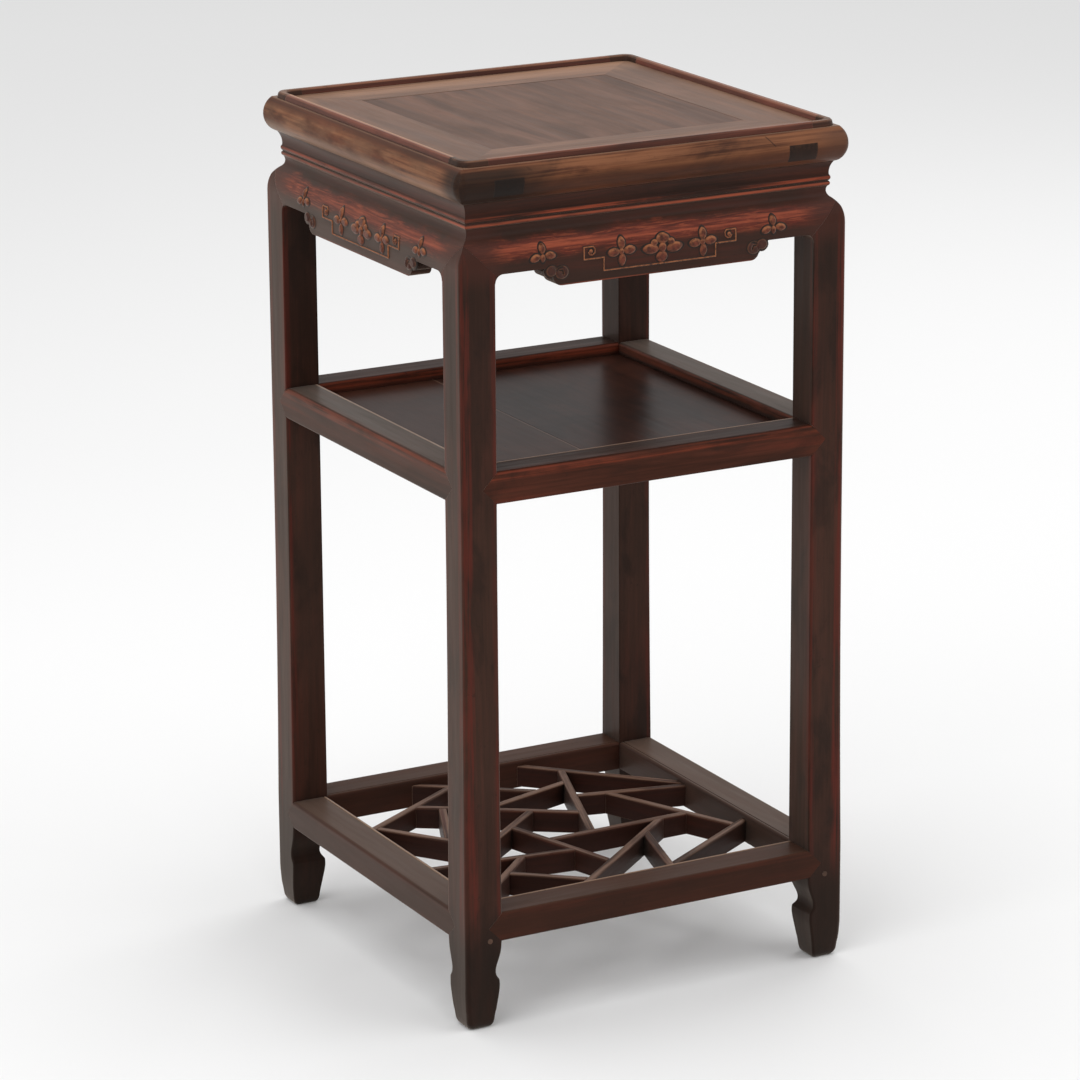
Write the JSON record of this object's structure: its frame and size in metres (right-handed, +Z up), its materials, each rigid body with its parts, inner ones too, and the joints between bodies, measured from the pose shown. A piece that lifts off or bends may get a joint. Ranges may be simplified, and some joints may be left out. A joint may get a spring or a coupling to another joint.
{
  "type": "three-tier stand",
  "caption": "Square waisted wooden stand with a raised-lip top, carved aprons, a closed middle shelf, a cracked-ice lattice lower shelf and hoof feet.",
  "frame": {"origin": "on the floor under the centre of the stand", "axes": "+Z up, -Y out of the front face, +X to the right as seen from the front"},
  "size_m": [0.404, 0.404, 0.81],
  "materials": {
    "leg_wood": "dark reddish brown stain, waxed, rubbed red on the arrises",
    "rail_wood": "dark reddish brown stain, waxed, rubbed red on the upper edge",
    "top_frame_wood": "worn mid brown, satin",
    "top_panel_wood": "worn grey brown, satin",
    "lip_wood": "dark red brown, rubbed",
    "lip_corner_wood": "near black end grain",
    "waist_wood": "dark brown with red rubbed beads",
    "apron_wood": "dark brown with a red rubbed shoulder and golden carving",
    "shelf_wood": "dark brown, waxed",
    "lattice_wood": "dark brown, dusty on top",
    "peg_wood": "lighter end grain",
    "hidden_wood": "bare wood, unfinished"
  },
  "bodies": {
    "root": {"leg_front_right": "leg_wood", "leg_back_right": "leg_wood", "leg_back_left": "leg_wood", "leg_front_left": "leg_wood", "top_frame_front": "top_frame_wood", "top_frame_right": "top_frame_wood", "top_frame_back": "top_frame_wood", "top_frame_left": "top_frame_wood", "top_panel": "top_panel_wood", "top_batten": "hidden_wood", "lip_front": "lip_wood", "lip_right": "lip_wood", "lip_back": "lip_wood", "lip_left": "lip_wood", "lip_corner_front_right": "lip_corner_wood", "lip_corner_back_right": "lip_corner_wood", "lip_corner_back_left": "lip_corner_wood", "lip_corner_front_left": "lip_corner_wood", "waist_front": "waist_wood", "waist_right": "waist_wood", "waist_back": "waist_wood", "waist_left": "waist_wood", "apron_front": "apron_wood", "apron_right": "apron_wood", "apron_back": "apron_wood", "apron_left": "apron_wood", "middle_rail_front": "rail_wood", "middle_rail_right": "rail_wood", "middle_rail_back": "rail_wood", "middle_rail_left": "rail_wood", "middle_board_narrow": "shelf_wood", "middle_board_wide": "shelf_wood", "middle_batten": "hidden_wood", "lower_rail_front": "rail_wood", "lower_rail_right": "rail_wood", "lower_rail_back": "rail_wood", "lower_rail_left": "rail_wood", "lattice_bar_01": "lattice_wood", "lattice_bar_02": "lattice_wood", "lattice_bar_03": "lattice_wood", "lattice_bar_04": "lattice_wood", "lattice_bar_05": "lattice_wood", "lattice_bar_06": "lattice_wood", "lattice_bar_07": "lattice_wood", "lattice_bar_08": "lattice_wood", "lattice_bar_09": "lattice_wood", "lattice_bar_10": "lattice_wood", "lattice_bar_11": "lattice_wood", "lattice_bar_12": "lattice_wood", "lattice_bar_13": "lattice_wood", "lattice_bar_14": "lattice_wood", "lattice_bar_15": "lattice_wood", "lattice_bar_16": "lattice_wood", "lattice_bar_17": "lattice_wood", "lattice_bar_18": "lattice_wood", "lattice_bar_19": "lattice_wood", "rail_pegs": "peg_wood"}
  },
  "joints": []
}
